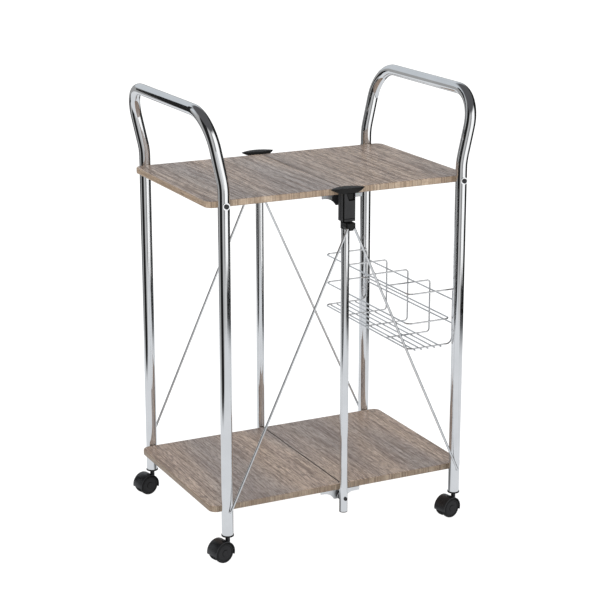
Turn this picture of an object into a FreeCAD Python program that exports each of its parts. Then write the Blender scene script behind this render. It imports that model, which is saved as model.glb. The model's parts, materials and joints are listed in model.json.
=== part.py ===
import FreeCAD, Part
import Sketcher
import math
import os
import re

# Folding kitchen trolley: two shelves, each hinged across the middle, between two bent
# tube side frames on castors. Two centre posts carry the hinges and the fold's latches.
# Millimetres and degrees. +X is right, -Y is the front, +Z is up, and the origin is on
# the floor under the middle of the trolley.

V = FreeCAD.Vector
LEFT, RIGHT = -1, 1
FRONT, REAR = -1, 1
SIDES = {"left": LEFT, "right": RIGHT}
ENDS = {"front": FRONT, "rear": REAR}

SIZES = {
    # Clearances shared by all fits
    "fit_gap": 0.05,
    "side_play": 0.3,
    # Side frames: legs and splayed handle, bent from one tube
    "leg_diameter": 22.0,
    "leg_wall": 1.2,
    "leg_span_x": 495.0,
    "leg_span_y": 381.2,
    "handle_reach": 159.1,
    "handle_rise": 130.6,
    "handle_lean": 12.5,
    "handle_bend_radius": 120.0,
    "handle_corner_radius": 65.0,
    # Shelf boards
    "board_length": 550.0,
    "board_thickness": 12.6,
    "board_corner_radius": 16.0,
    "board_edge_radius": 2.5,
    "board_side_gap": 0.6,
    "board_seam": 1.0,
    "upper_board_top": 690.9,
    "lower_board_top": 104.7,
    # Bolts that carry the upper boards in the legs
    "bolt_diameter": 6.0,
    "bolt_depth": 22.0,
    "bolt_head_diameter": 9.0,
    "bolt_head_height": 1.8,
    "ring_diameter": 14.0,
    "ring_thickness": 1.4,
    # Centre posts
    "post_diameter": 16.0,
    "post_wall": 1.0,
    "post_gap": 1.0,
    "post_foot": 27.1,
    "post_cover": 3.0,
    "plug_length": 18.0,
    "plug_lip": 1.5,
    # Centre hinges
    "hinge_drop": 13.5,
    "hinge_pin_diameter": 5.0,
    "hinge_head_diameter": 7.4,
    "hinge_head_height": 2.2,
    "ear_radius": 7.5,
    "ear_edge": 0.2,
    "sleeve_diameter": 13.4,
    "sleeve_length": 5.4,
    "bracket_thickness": 1.8,
    "bracket_length": 40.0,
    "bracket_width": 24.0,
    "bracket_lip": 7.4,
    "left_gusset_radius": 27.0,
    "right_gusset_radius": 19.0,
    "screw_diameter": 3.6,
    "screw_depth": 8.0,
    "screw_head_diameter": 7.0,
    "screw_head_height": 1.8,
    "screw_inner_place": 13.0,
    "screw_outer_place": 32.0,
    # Latches on the posts' tops
    "latch_width": 25.6,
    "latch_front": 16.5,
    "latch_back": 7.4,
    "latch_drop": 5.0,
    "latch_height": 53.9,
    "latch_front_round": 2.0,
    "latch_back_round": 4.0,
    "groove_place": 5.0,
    "groove_width": 1.5,
    "groove_depth": 1.0,
    "recess_left": 6.9,
    "recess_foot_left": 1.3,
    "recess_right": 11.0,
    "recess_height": 15.0,
    "recess_depth": 4.0,
    "button_margin": 1.8,
    "button_thickness": 2.5,
    "button_proud": 1.5,
    "button_travel": 2.0,
    "grip_length": 70.0,
    "grip_tip": 1.0,
    "grip_front": 20.0,
    "grip_back": 6.0,
    "grip_tip_place": 9.0,
    "grip_height": 9.0,
    "grip_flat": 34.0,
    "grip_belly_radius": 75.0,
    "grip_crown_radius": 500.0,
    # Sliders and stay rods
    "rod_diameter": 4.5,
    "rod_bend_radius": 4.0,
    "rod_depth": 20.0,
    "rod_top_x": 7.0,
    "rod_top_rise": 3.8,
    "rod_top_lean": 5.4,
    "slider_width": 20.0,
    "slider_height": 13.3,
    "slider_back": 1.0,
    "slider_lip": 8.0,
    "slider_lip_width": 15.8,
    "slider_tongue": 7.8,
    "slider_chamfer_width": 4.0,
    "slider_chamfer_height": 6.0,
    "collar_diameter": 18.0,
    "collar_height": 2.0,
    "collar_gap": 0.5,
    # Castors
    "castor_turn": 14.0,
    "castor_trail": 16.3,
    "castor_gap": 5.0,
    "wheel_diameter": 40.0,
    "wheel_width": 10.0,
    "wheel_bore_depth": 7.0,
    "wheel_dish": 0.8,
    "wheel_rim": 4.5,
    "wheel_hub_radius": 6.0,
    "wheel_round": 1.8,
    "hood_gap": 0.7,
    "hood_wall": 1.8,
    "hood_web": 8.0,
    "hood_start": -17.0,
    "hood_sweep": 205.0,
    "axle_diameter": 5.0,
    "axle_hub_radius": 7.5,
    "stem_diameter": 6.0,
    "stem_foot_height": 25.0,
    "stem_reach": 24.0,
    "neck_diameter": 9.0,
    "neck_foot_height": 23.0,
    "socket_flange_diameter": 24.0,
    "socket_flange": 2.5,
    "socket_depth": 28.0,
    # Wire basket between the right legs
    "wire_diameter": 3.0,
    "basket_inset": 3.5,
    "basket_side_gap": 3.6,
    "basket_width": 98.0,
    "basket_rim_height": 465.5,
    "basket_height": 110.0,
    "basket_guard_rise": 50.0,
    "basket_upper_wire_drop": 23.0,
    "basket_lower_wire_rise": 39.0,
    "basket_corner_radius": 12.0,
    "basket_hoop_radius": 6.0,
    "basket_hook_radius": 3.0,
    "basket_hook_depth": 4.0,
    "basket_hoop_pitch": 88.0,
    "basket_floor_pitch": 14.6,
}
BASKET_FLOOR_WIRES = 5

LAYOUT = {
    "leg_x": "leg_span_x / 2",
    "leg_y": "leg_span_y / 2",
    "leg_face_y": "leg_y + leg_diameter / 2",
    "leg_inner_y": "leg_y - leg_diameter / 2",
    "leg_bottom": "wheel_radius + hood_radius + castor_gap + socket_flange",
    "handle_height": "upper_board_top + handle_reach",
    "handle_bend_height": "handle_height - handle_rise",
    "handle_splay": "handle_rise * tan(handle_lean)",
    "board_y": "leg_inner_y - board_side_gap",
    "upper_pivot_z": "upper_board_top - board_thickness / 2",
    "lower_pivot_z": "lower_board_top - board_thickness / 2",
    "ring_y": "leg_face_y + fit_gap",
    "bolt_head_y": "ring_y + ring_thickness + fit_gap",
    "post_y": "board_y + post_gap + post_diameter / 2",
    "post_face_y": "post_y + post_diameter / 2",
    "post_inner_y": "post_y - post_diameter / 2",
    "post_bottom": "lower_hinge_z - post_foot",
    "post_top": "latch_top - post_cover",
    "upper_hinge_z": "upper_board_top - board_thickness - hinge_drop",
    "lower_hinge_z": "lower_board_top - board_thickness - hinge_drop",
    "right_ear_y": "board_y - ear_edge",
    "sleeve_y": "right_ear_y - bracket_thickness - side_play",
    "left_ear_y": "sleeve_y - sleeve_length - side_play",
    "hinge_tail_y": "left_ear_y - bracket_thickness - side_play",
    "latch_top": "upper_board_top - latch_drop",
    "latch_bottom": "latch_top - latch_height",
    "latch_front_y": "post_y + latch_front",
    "latch_back_y": "post_y - latch_back",
    "recess_y": "latch_front_y - recess_depth",
    "recess_z": "latch_top - recess_height",
    "button_y": "recess_y + button_proud - button_thickness",
    "pocket_y": "button_y - button_travel - side_play",
    "grip_top": "latch_top + grip_height",
    "slider_top": "latch_bottom - collar_gap - collar_height",
    "slider_bottom": "slider_top - slider_height",
    "slider_back_y": "post_y + slider_back",
    "slider_face_y": "rod_top_y - rod_diameter / 2 - side_play",
    "slider_lip_y": "rod_top_y + rod_diameter / 2",
    "rod_y": "leg_face_y + rod_bend_radius",
    "rod_top_y": "rod_y + rod_top_lean",
    "rod_top_height": "slider_bottom + rod_top_rise",
    "wheel_radius": "wheel_diameter / 2",
    "hood_inner_radius": "wheel_radius + hood_gap",
    "hood_radius": "hood_inner_radius + hood_wall",
    "hood_width": "hood_web + 2 * (wheel_width + side_play)",
    "neck_top": "leg_bottom - socket_flange - side_play",
    "axle_reach": "hood_web / 2 + wheel_bore_depth",
    "plug_radius": "leg_diameter / 2 - leg_wall - fit_gap",
    "basket_right_x": "leg_x - basket_inset",
    "basket_left_x": "basket_right_x - basket_width",
    "basket_y": "leg_inner_y - basket_side_gap",
    "basket_floor_height": "basket_rim_height - basket_height",
    "basket_guard_height": "basket_floor_height + basket_guard_rise",
    "basket_upper_wire": "basket_rim_height - basket_upper_wire_drop",
    "basket_lower_wire": "basket_floor_height + basket_lower_wire_rise",
}

doc = FreeCAD.newDocument("KitchenTrolley")
sheet = doc.addObject("Spreadsheet::Sheet", "Sizes")
for row, (alias, number) in enumerate(SIZES.items(), start=1):
    sheet.set(f"A{row}", alias)
    sheet.set(f"B{row}", str(number))
    sheet.setAlias(f"B{row}", alias)
doc.recompute()

pieces = []


def expand(text):
    """Write the names of sizes and layout values out as references to the sheet's cells."""
    def reference(match):
        name = match.group(0)
        if name in LAYOUT:
            return f"({expand(LAYOUT[name])})"
        return f"Sizes.{name}" if name in SIZES else name
    return re.sub(r"[a-z][a-z0-9_]*", reference, text)


def value(text):
    """Give the number that an expression has now."""
    return float(sheet.evalExpression(expand(text)))


def point(place):
    return V(*[value(text) for text in place])


def bind(item, **sizes):
    for name, text in sizes.items():
        item.setExpression(name, expand(text))


def seat(item, place, turn=FreeCAD.Rotation()):
    """Turn an object and tie its place to the sheet."""
    item.Placement = FreeCAD.Placement(point(place), turn)
    for name, text in zip("xyz", place):
        item.setExpression(f"Placement.Base.{name}", expand(text))


def finish(item, label):
    """Name an object as one of the trolley's pieces."""
    item.Label = label
    pieces.append(item)
    return item


def box(name, low, high):
    """A block between two corners, both given as expressions."""
    item = doc.addObject("Part::Box", name)
    spans = [f"({top}) - ({bottom})" for bottom, top in zip(low, high)]
    bind(item, Length=spans[0], Width=spans[1], Height=spans[2])
    seat(item, low)
    return item


def cylinder(name, place, direction, radius, height):
    """A round bar from a point along a direction."""
    item = doc.addObject("Part::Cylinder", name)
    bind(item, Radius=radius, Height=height)
    seat(item, place, FreeCAD.Rotation(V(0, 0, 1), V(*direction)))
    return item


def bar_y(name, x, z, end, outer, inner, radius):
    """A round bar along Y, from its outer to its inner distance from the middle plane."""
    return cylinder(name, (x, f"{end} * ({outer})", z), (0, -end, 0), radius, f"({outer}) - ({inner})")


def fuse(name, items):
    item = doc.addObject("Part::MultiFuse", name)
    item.Shapes = items
    return item


def common(name, items):
    item = doc.addObject("Part::MultiCommon", name)
    item.Shapes = items
    return item


def cut(name, base, tools):
    item = doc.addObject("Part::Cut", name)
    item.Base = base
    item.Tool = tools[0] if len(tools) == 1 else fuse(f"{name}_tools", tools)
    return item


def group(name, items):
    item = doc.addObject("Part::Compound", name)
    item.Links = items
    return item


def span_y(end, near, far):
    """The low and high Y of a block that lies between two distances from the middle plane."""
    return (f"-({far})", f"-({near})") if end == FRONT else (near, far)


def bent_path(corners, radii):
    """Straight runs between the corners, joined by tangent arcs of the given radii."""
    edges = []
    start = corners[0]
    for before, corner, after, radius in zip(corners, corners[1:], corners[2:], radii):
        back = (before - corner).normalize()
        ahead = (after - corner).normalize()
        half_angle = back.getAngle(ahead) / 2
        reach = radius / math.tan(half_angle)
        middle = (back + ahead).normalize() * (radius / math.sin(half_angle) - radius)
        first, last = corner + back * reach, corner + ahead * reach
        edges.append(Part.LineSegment(start, first).toShape())
        edges.append(Part.Arc(first, corner + middle, last).toShape())
        start = last
    edges.append(Part.LineSegment(start, corners[-1]).toShape())
    return Part.Wire(edges)


def path(name, corners, radii):
    """The centre line of a bent tube or wire."""
    item = doc.addObject("Part::Feature", name)
    item.Shape = bent_path([point(corner) for corner in corners], [value(radius) for radius in radii])
    return item


def sweep(name, spine, diameter):
    """A round bar of the given diameter along a centre line."""
    first_run = spine.Shape.Edges[0]
    start = first_run.firstVertex(True).Point
    heading = first_run.lastVertex(True).Point - start
    section = doc.addObject("Part::Circle", f"{name}_section")
    section.Placement = FreeCAD.Placement(start, FreeCAD.Rotation(V(0, 0, 1), heading))
    bind(section, Radius=f"({diameter}) / 2")
    item = doc.addObject("Part::Sweep", name)
    item.Sections = [section]
    item.Spine = (spine, [f"Edge{number}" for number in range(1, len(spine.Shape.Edges) + 1)])
    item.Solid = True
    return item


def wire(name, corners, radii):
    return sweep(name, path(f"{name}_path", corners, radii), "wire_diameter")


def outline(body, name, role, corners):
    """Sketch a closed outline of straight lines on one of a body's origin planes."""
    sketch = body.newObject("Sketcher::SketchObject", name)
    plane = next(feature for feature in body.Origin.OriginFeatures if feature.Role == role)
    sketch.AttachmentSupport = (plane, [""])
    sketch.MapMode = "FlatFace"
    places = [V(value(across), value(along), 0) for across, along in corners]
    count = len(places)
    for number, place in enumerate(places):
        sketch.addGeometry(Part.LineSegment(place, places[(number + 1) % count]), False)
    for number, (across, along) in enumerate(corners):
        sketch.addConstraint(Sketcher.Constraint("Coincident", number, 2, (number + 1) % count, 1))
        for kind, text in (("DistanceX", across), ("DistanceY", along)):
            row_number = sketch.addConstraint(Sketcher.Constraint(kind, -1, 1, number, 1, value(text)))
            sketch.setExpression(f"Constraints[{row_number}]", expand(text))
    return sketch


def plate(name, corners, end, near, far, height):
    """An upright plate of straight outline between two distances from the middle plane."""
    body = doc.addObject("PartDesign::Body", name)
    pad = body.newObject("PartDesign::Pad", f"{name}_pad")
    pad.Profile = outline(body, f"{name}_outline", "XZ_Plane", corners)
    bind(pad, Length=f"({far}) - ({near})")
    seat(body, ("0", span_y(end, near, far)[1], height))
    return body


def round_edges(body, name, base, radius, wanted):
    """Fillet the edges of a body's feature that a test picks."""
    doc.recompute()
    edges = [f"Edge{number}" for number, edge in enumerate(base.Shape.Edges, start=1) if wanted(edge)]
    fillet = body.newObject("PartDesign::Fillet", name)
    fillet.Base = (base, edges)
    bind(fillet, Radius=radius)
    return fillet


def is_vertical(edge):
    box_size = edge.BoundBox
    return box_size.XLength < 0.01 and box_size.YLength < 0.01


def board(level, side_name):
    """Half a shelf, rounded at its outer corners, with the holes for its pivots and screws."""
    side = SIDES[side_name]
    name = f"{level}_{side_name}_board"
    seam_x = f"{side} * board_seam / 2"
    end_x = f"{side} * board_length / 2"
    body = doc.addObject("PartDesign::Body", f"{name}_panel")
    corners = [(seam_x, "-board_y"), (end_x, "-board_y"), (end_x, "board_y"), (seam_x, "board_y")]
    panel = body.newObject("PartDesign::Pad", f"{name}_pad")
    panel.Profile = outline(body, f"{name}_outline", "XY_Plane", corners)
    bind(panel, Length="board_thickness")
    seat(body, ("0", "0", f"{level}_board_top - board_thickness"))
    half_seam = value("board_seam")

    def outer_corner(edge):
        return is_vertical(edge) and abs(edge.BoundBox.XMin) > half_seam

    def rim_edge(edge):
        return not is_vertical(edge) and edge.BoundBox.XLength + edge.BoundBox.YLength > 0.01 and not (
            abs(edge.BoundBox.XMin) < half_seam and abs(edge.BoundBox.XMax) < half_seam)

    cornered = round_edges(body, f"{name}_corners", panel, "board_corner_radius", outer_corner)
    round_edges(body, f"{name}_rim", cornered, "board_edge_radius", rim_edge)
    doc.recompute()
    pivot = ("bolt_diameter", "bolt_depth") if level == "upper" else ("rod_diameter", "rod_depth")
    holes = []
    for end_name, end in ENDS.items():
        radius = f"{pivot[0]} / 2 + fit_gap"
        floor_y = f"board_y - {pivot[1]} - side_play"
        holes.append(bar_y(f"{name}_{end_name}_pivot_hole", f"{side} * leg_x", f"{level}_pivot_z",
                           end, "board_y + side_play", floor_y, radius))
        for place in ("inner", "outer"):
            hole_place = screw_place(side, side_name, end, place, f"{level}_board_top - board_thickness")
            holes.append(cylinder(f"{name}_{end_name}_{place}_pilot", hole_place, (0, 0, 1),
                                  "screw_diameter / 2 + fit_gap", "screw_depth + side_play"))
    finish(cut(name, body, holes), name)


def screw_place(side, side_name, end, place, height):
    """Where a bracket screw meets a level: two of them along each bracket's flange."""
    return (f"{side} * screw_{place}_place", f"{end} * ({side_name}_ear_y - bracket_width / 2)", height)


def bracket(level, side_name, end_name):
    """A bent sheet bracket: a flange under the board and a gusset down to the hinge axis."""
    side, end = SIDES[side_name], ENDS[end_name]
    name = f"{level}_{side_name}_{end_name}_bracket"
    hinge_z, ear_y = f"{level}_hinge_z", f"{side_name}_ear_y"
    heel, waist_radius = f"{side} * board_seam / 2", f"{side_name}_gusset_radius"
    waist_x = f"{side} * (ear_radius + {waist_radius})"
    corners = [(heel, "-ear_radius"), (waist_x, "-ear_radius"), (waist_x, "hinge_drop - bracket_lip"),
               (f"{side} * bracket_length", "hinge_drop - bracket_lip"),
               (f"{side} * bracket_length", "hinge_drop"), (heel, "hinge_drop")]
    blank = plate(f"{name}_ear", corners, end, f"{ear_y} - bracket_thickness", ear_y, hinge_z)
    eye = bar_y(f"{name}_eye", "0", hinge_z, end, ear_y, f"{ear_y} - bracket_thickness", "ear_radius")
    low_x, high_x = (heel, f"{side} * bracket_length")[::side]
    low_y, high_y = span_y(end, f"{ear_y} - bracket_width", ear_y)
    flange = box(f"{name}_flange", (low_x, low_y, f"{hinge_z} + hinge_drop - bracket_thickness"),
                 (high_x, high_y, f"{hinge_z} + hinge_drop"))
    waist = bar_y(f"{name}_waist", waist_x, f"{hinge_z} + hinge_drop - bracket_lip - {waist_radius}", end,
                  f"{ear_y} + side_play", f"{ear_y} - bracket_thickness - side_play", waist_radius)
    ear = fuse(f"{name}_ear_whole", [cut(f"{name}_gusset", blank, [waist]), eye])
    holes = [bar_y(f"{name}_pin_hole", "0", hinge_z, end, f"{ear_y} + side_play",
                   f"{ear_y} - bracket_thickness - side_play", "hinge_pin_diameter / 2 + fit_gap")]
    for place in ("inner", "outer"):
        hole_place = screw_place(side, side_name, end, place, f"{hinge_z}")
        holes.append(cylinder(f"{name}_{place}_hole", hole_place, (0, 0, 1), "screw_diameter / 2 + fit_gap",
                              "hinge_drop + side_play"))
    return cut(name, fuse(f"{name}_sheet", [ear, flange]), holes)


def bracket_screw(level, side_name, end_name, place):
    """A pan-head screw up through the flange into the board."""
    side, end = SIDES[side_name], ENDS[end_name]
    name = f"{level}_{side_name}_{end_name}_{place}_screw"
    seat_z = f"{level}_hinge_z + hinge_drop - bracket_thickness - fit_gap"
    shank = cylinder(f"{name}_shank", screw_place(side, side_name, end, place, seat_z), (0, 0, 1),
                     "screw_diameter / 2", "bracket_thickness + fit_gap + screw_depth")
    head = cylinder(f"{name}_head", screw_place(side, side_name, end, place, seat_z), (0, 0, -1),
                    "screw_head_diameter / 2", "screw_head_height")
    return fuse(name, [shank, head])


def shelves():
    for level in ("upper", "lower"):
        for side_name in SIDES:
            board(level, side_name)
            name = f"{level}_{side_name}"
            finish(group(f"{name}_brackets", [bracket(level, side_name, end_name) for end_name in ENDS]),
                   f"{name}_brackets")
            screws = [bracket_screw(level, side_name, end_name, place)
                      for end_name in ENDS for place in ("inner", "outer")]
            finish(group(f"{name}_bracket_screws", screws), f"{name}_bracket_screws")


def side_tube(side_name):
    """Two legs and the handle in one bent tube, drilled for the pivots and the basket."""
    side = SIDES[side_name]
    name = f"{side_name}_side_tube"
    leg_x, handle_x = f"{side} * leg_x", f"{side} * (leg_x + handle_splay)"
    corners = [(leg_x, "-leg_y", "leg_bottom"), (leg_x, "-leg_y", "handle_bend_height"),
               (handle_x, "-leg_y", "handle_height"), (handle_x, "leg_y", "handle_height"),
               (leg_x, "leg_y", "handle_bend_height"), (leg_x, "leg_y", "leg_bottom")]
    radii = ["handle_bend_radius", "handle_corner_radius", "handle_corner_radius", "handle_bend_radius"]
    spine = path(f"{name}_path", corners, radii)
    skin = sweep(f"{name}_skin", spine, "leg_diameter")
    hollow = [sweep(f"{name}_hollow", spine, "leg_diameter - 2 * leg_wall")]
    for end_name, end in ENDS.items():
        for level, diameter in (("upper", "bolt_diameter"), ("lower", "rod_diameter")):
            hollow.append(bar_y(f"{name}_{end_name}_{level}_hole", leg_x, f"{level}_pivot_z", end,
                                "leg_face_y + side_play", "leg_inner_y - side_play",
                                f"{diameter} / 2 + fit_gap"))
        if side == RIGHT:
            hollow.append(bar_y(f"{name}_{end_name}_basket_hole", "basket_right_x", "basket_rim_height", end,
                                "leg_y", "leg_inner_y - side_play", "wire_diameter / 2 + fit_gap"))
    finish(cut(name, skin, hollow), name)


def pivot_bolt(side_name, end_name):
    side, end = SIDES[side_name], ENDS[end_name]
    name = f"{side_name}_{end_name}_pivot_bolt"
    place = (f"{side} * leg_x", "upper_pivot_z", end)
    shank = bar_y(f"{name}_shank", *place, "bolt_head_y", "board_y - bolt_depth", "bolt_diameter / 2")
    head = bar_y(f"{name}_head", *place, "bolt_head_y + bolt_head_height", "bolt_head_y",
                 "bolt_head_diameter / 2")
    return fuse(name, [shank, head])


def pivot_ring(side_name, end_name):
    side, end = SIDES[side_name], ENDS[end_name]
    name = f"{side_name}_{end_name}_pivot_ring"
    place = (f"{side} * leg_x", "upper_pivot_z", end)
    disc = bar_y(f"{name}_disc", *place, "ring_y + ring_thickness", "ring_y", "ring_diameter / 2")
    eye = bar_y(f"{name}_eye", *place, "ring_y + ring_thickness + side_play", "ring_y - side_play",
                "bolt_diameter / 2 + fit_gap")
    return cut(name, disc, [eye])


def castor_socket(side_name, end_name):
    """The plug in a leg's lower end, with its flange under the tube."""
    side, end = SIDES[side_name], ENDS[end_name]
    name = f"{side_name}_{end_name}_castor_socket"
    axis = (f"{side} * leg_x", f"{end} * leg_y")
    flange = cylinder(f"{name}_flange", (*axis, "leg_bottom - socket_flange"), (0, 0, 1),
                      "socket_flange_diameter / 2", "socket_flange")
    plug = cylinder(f"{name}_plug", (*axis, "leg_bottom"), (0, 0, 1), "plug_radius", "socket_depth")
    bore = cylinder(f"{name}_bore", (*axis, "leg_bottom - socket_flange - side_play"), (0, 0, 1),
                    "stem_diameter / 2 + fit_gap", "socket_flange + stem_reach + 2 * side_play")
    return cut(name, fuse(f"{name}_body", [flange, plug]), [bore])


def side_frames():
    for side_name in SIDES:
        side_tube(side_name)
        for label, build in (("pivot_bolts", pivot_bolt), ("pivot_rings", pivot_ring),
                             ("castor_sockets", castor_socket)):
            name = f"{side_name}_{label}"
            finish(group(name, [build(side_name, end_name) for end_name in ENDS]), name)


def place_castor(item, stem):
    """Set a castor piece that is built about its stem under its leg, turned as the castor rests."""
    seat(item, (*stem, "0"), FreeCAD.Rotation(V(0, 0, 1), value("castor_turn")))
    bind(item, **{"Placement.Rotation.Angle": "castor_turn"})


def castor_hood(name, stem):
    """The arched cover over both wheels, with its web, axle hub and stem neck."""
    upright = FreeCAD.Rotation(V(1, 0, 0), 90)
    start = upright.multiply(FreeCAD.Rotation(V(0, 0, 1), value("hood_start")))

    def disc(label, radius, near, far):
        return cylinder(f"{name}_{label}", ("-castor_trail", near, "wheel_radius"), (0, 1, 0), radius,
                        f"({far}) - ({near})")

    sector = doc.addObject("Part::Cylinder", f"{name}_sector")
    bind(sector, Radius="hood_radius", Height="hood_width", Angle="hood_sweep")
    seat(sector, ("-castor_trail", "hood_width / 2", "wheel_radius"), start)
    neck = cylinder(f"{name}_neck", ("0", "0", "neck_foot_height"), (0, 0, 1), "neck_diameter / 2",
                    "neck_top - neck_foot_height")
    wheel_spaces = [disc("front_space", "hood_inner_radius", "-hood_width / 2 - side_play", "-hood_web / 2"),
                    disc("rear_space", "hood_inner_radius", "hood_web / 2", "hood_width / 2 + side_play")]
    cover = cut(f"{name}_cover", fuse(f"{name}_solid", [sector, neck]), wheel_spaces)
    hub = disc("hub", "axle_hub_radius", "-hood_web / 2", "hood_web / 2")
    bores = [disc("axle_bore", "axle_diameter / 2 + fit_gap", "-hood_web / 2 - side_play",
                  "hood_web / 2 + side_play"),
             cylinder(f"{name}_stem_bore", ("0", "0", "stem_foot_height - fit_gap"), (0, 0, 1),
                      "stem_diameter / 2 + fit_gap", "neck_top - stem_foot_height + side_play")]
    hood = cut(name, fuse(f"{name}_body", [cover, hub]), bores)
    place_castor(hood, stem)
    finish(hood, name)


def castor_wheel(name, stem, direction):
    """One wheel: rounded tread, dished outer face, and a blind bore on its inner side."""
    body = doc.addObject("PartDesign::Body", f"{name}_body")
    bore = "axle_diameter / 2 + fit_gap"
    corners = [(bore, "0"), ("wheel_radius - wheel_round", "0"), ("wheel_radius", "wheel_round"),
               ("wheel_radius", "wheel_width - 2 * wheel_round"),
               ("wheel_radius - wheel_round / 2", "wheel_width - wheel_round / 2"),
               ("wheel_radius - 2 * wheel_round", "wheel_width"),
               ("wheel_radius - wheel_rim", "wheel_width"),
               ("wheel_radius - wheel_rim - wheel_dish", "wheel_width - wheel_dish"),
               ("wheel_hub_radius + wheel_dish", "wheel_width - wheel_dish"),
               ("wheel_hub_radius", "wheel_width"), ("0", "wheel_width"),
               ("0", "wheel_bore_depth"), (bore, "wheel_bore_depth")]
    section = outline(body, f"{name}_section", "XY_Plane", corners)
    turned = body.newObject("PartDesign::Revolution", f"{name}_turned")
    turned.Profile = section
    turned.ReferenceAxis = (section, ["V_Axis"])
    turned.Angle = 360
    offset = f"{direction} * (hood_web / 2 + side_play)"
    facing = "castor_turn" if direction == REAR else "castor_turn + 180"
    seat(body, (f"{stem[0]} - castor_trail * cos(castor_turn) - {offset} * sin(castor_turn)",
                f"{stem[1]} - castor_trail * sin(castor_turn) + {offset} * cos(castor_turn)", "wheel_radius"),
         FreeCAD.Rotation(V(0, 0, 1), value(facing)))
    bind(body, **{"Placement.Rotation.Angle": facing})
    finish(body, name)


def castors():
    for end_name, end in ENDS.items():
        for side_name, side in SIDES.items():
            name = f"{end_name}_{side_name}_castor"
            stem = (f"{side} * leg_x", f"{end} * leg_y")
            castor_hood(f"{name}_hood", stem)
            stem_pin = cylinder(f"{name}_stem", ("0", "0", "stem_foot_height"), (0, 0, 1), "stem_diameter / 2",
                                "leg_bottom + stem_reach - stem_foot_height")
            axle_pin = cylinder(f"{name}_axle", ("-castor_trail", "-axle_reach", "wheel_radius"), (0, 1, 0),
                                "axle_diameter / 2", "2 * axle_reach")
            pins = group(f"{name}_pins", [stem_pin, axle_pin])
            place_castor(pins, stem)
            finish(pins, f"{name}_pins")
            castor_wheel(f"{name}_front_wheel", stem, FRONT)
            castor_wheel(f"{name}_rear_wheel", stem, REAR)


def post(end_name):
    """A centre post: a tube with holes across it for the two hinge pins."""
    end = ENDS[end_name]
    name = f"{end_name}_post"
    foot = ("0", f"{end} * post_y", "post_bottom")
    skin = cylinder(f"{name}_skin", foot, (0, 0, 1), "post_diameter / 2", "post_top - post_bottom")
    hollow = [cylinder(f"{name}_hollow", ("0", f"{end} * post_y", "post_bottom - side_play"), (0, 0, 1),
                       "post_diameter / 2 - post_wall", "post_top - post_bottom + 2 * side_play")]
    for level in ("upper", "lower"):
        hollow.append(bar_y(f"{name}_{level}_hole", "0", f"{level}_hinge_z", end, "post_face_y + side_play",
                            "post_inner_y - side_play", "hinge_pin_diameter / 2 + fit_gap"))
    finish(cut(name, skin, hollow), name)


def post_end_plug(end_name):
    end = ENDS[end_name]
    name = f"{end_name}_post_end_plug"
    foot = ("0", f"{end} * post_y", "post_bottom")
    lip = cylinder(f"{name}_lip", foot, (0, 0, -1), "post_diameter / 2", "plug_lip")
    stub = cylinder(f"{name}_stub", foot, (0, 0, 1), "post_diameter / 2 - post_wall - fit_gap", "plug_length")
    return fuse(name, [lip, stub])


def hinge_pin(level, end_name):
    """A riveted pin through the post, both ears and the sleeve; the latch hides the upper head."""
    end = ENDS[end_name]
    name = f"{level}_{end_name}_hinge_pin"
    place = ("0", f"{level}_hinge_z", end)
    head_y = "post_face_y + fit_gap"
    outer = head_y if level == "lower" else "post_face_y - post_wall / 2"
    parts = [bar_y(f"{name}_shank", *place, outer, "hinge_tail_y", "hinge_pin_diameter / 2"),
             bar_y(f"{name}_tail", *place, "hinge_tail_y", "hinge_tail_y - hinge_head_height",
                   "hinge_head_diameter / 2")]
    if level == "lower":
        parts.append(bar_y(f"{name}_head", *place, f"{head_y} + hinge_head_height", head_y,
                           "hinge_head_diameter / 2"))
    return fuse(name, parts)


def hinge_sleeves(level, end_name):
    """The sleeve between the two ears, and the washer between the front ear and the post."""
    end = ENDS[end_name]
    name = f"{level}_{end_name}_hinge_sleeve"
    place = ("0", f"{level}_hinge_z", end)
    spans = {"sleeve": ("sleeve_y", "sleeve_y - sleeve_length"),
             "washer": ("post_inner_y - fit_gap", "right_ear_y + side_play")}
    rings = []
    for label, (outer, inner) in spans.items():
        disc = bar_y(f"{name}_{label}_disc", *place, outer, inner, "sleeve_diameter / 2")
        eye = bar_y(f"{name}_{label}_eye", *place, f"{outer} + side_play", f"{inner} - side_play",
                    "hinge_pin_diameter / 2 + fit_gap")
        rings.append(cut(f"{name}_{label}", disc, [eye]))
    return rings


def rounded_block(name, low, high, inner_radius, outer_radius):
    """A block with rounded upright edges, of one radius towards the trolley and another away from it."""
    block = box(f"{name}_block", low, high)
    doc.recompute()
    middle = abs(block.Shape.BoundBox.Center.y)
    rounds = []
    for number, edge in enumerate(block.Shape.Edges, start=1):
        if is_vertical(edge):
            radius = value(outer_radius if abs(edge.BoundBox.YMin) > middle else inner_radius)
            rounds.append((number, radius, radius))
    item = doc.addObject("Part::Fillet", name)
    item.Base = block
    item.Edges = rounds
    return item


def post_hole(name, end, bottom, top):
    return cylinder(name, ("0", f"{end} * post_y", bottom), (0, 0, 1), "post_diameter / 2 + fit_gap",
                    f"({top}) - ({bottom})")


def recess_outline(end, inset):
    """The latch recess seen from its own end and drawn in by an inset; its left edge is slanted."""
    left = f"{end} * (recess_left - ({inset}))"
    foot = f"{end} * (recess_foot_left - ({inset}))"
    right = f"-{end} * (recess_right - ({inset}))"
    return [(foot, inset), (right, inset), (right, f"recess_height - ({inset})"),
            (left, f"recess_height - ({inset})")]


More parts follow.
